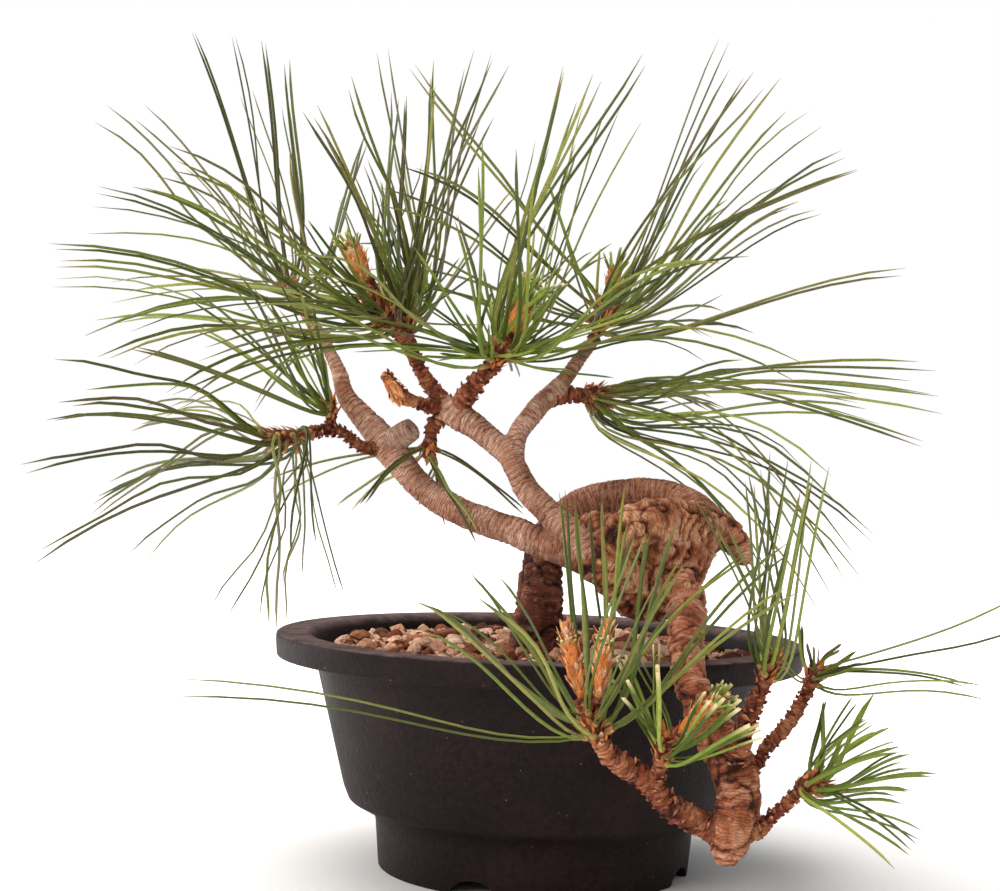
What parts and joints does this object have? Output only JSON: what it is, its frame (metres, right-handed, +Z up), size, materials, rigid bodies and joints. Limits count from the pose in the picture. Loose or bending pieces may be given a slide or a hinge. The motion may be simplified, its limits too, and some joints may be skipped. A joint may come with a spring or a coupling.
{
  "type": "bonsai tree in a pot",
  "caption": "Young pine grown as a bonsai in a round plastic training pot, with a knotted trunk, long needle tufts and a branch falling over the rim.",
  "frame": {"origin": "on the table, under the middle of the whole plant's spread; the pot's axis stands 12.5 mm to the right of it and 38 mm behind it", "axes": "+Z up, +X to the right and -Y towards the viewer as the tree is shown, with the falling branch over the front of the pot"},
  "size_m": [0.2792, 0.2746, 0.2621],
  "materials": {
    "black_plastic": "moulded polypropylene, dull satin, dusty on the rim",
    "gritty_soil": "loose mix of pale pumice, red-brown lava and baked clay grit",
    "pumice": "rough, porous",
    "pine_bark": "flaking bark with cross ridges, dull",
    "pine_needle": "waxy needle, satin",
    "candle_scale": "papery orange bud scales"
  },
  "bodies": {
    "root": {"candle_centre": "candle_scale", "candle_far_left": "candle_scale", "candle_fork": "candle_scale", "candle_front_inner": "candle_scale", "candle_front_left": "candle_scale", "candle_front_right": "candle_scale", "candle_right": "candle_scale", "needles_crown_centre": "pine_needle", "needles_crown_centre_left": "pine_needle", "needles_crown_far_left": "pine_needle", "needles_crown_far_right": "pine_needle", "needles_crown_left": "pine_needle", "needles_crown_right": "pine_needle", "needles_fork_underside": "pine_needle", "needles_front": "pine_needle", "needles_front_inner": "pine_needle", "needles_front_upright": "pine_needle", "needles_left_low": "pine_needle", "needles_left_upright": "pine_needle", "needles_right_lower": "pine_needle", "needles_right_upper": "pine_needle", "pot": "black_plastic", "soil_bed": "gritty_soil", "top_stone_01": "pumice", "top_stone_02": "pumice", "top_stone_03": "pumice", "top_stone_04": "pumice", "top_stone_05": "pumice", "top_stone_06": "pumice", "top_stone_07": "pumice", "top_stone_08": "pumice", "top_stone_09": "pumice", "top_stone_10": "pumice", "trunk_and_branches": "pine_bark"}
  },
  "joints": []
}
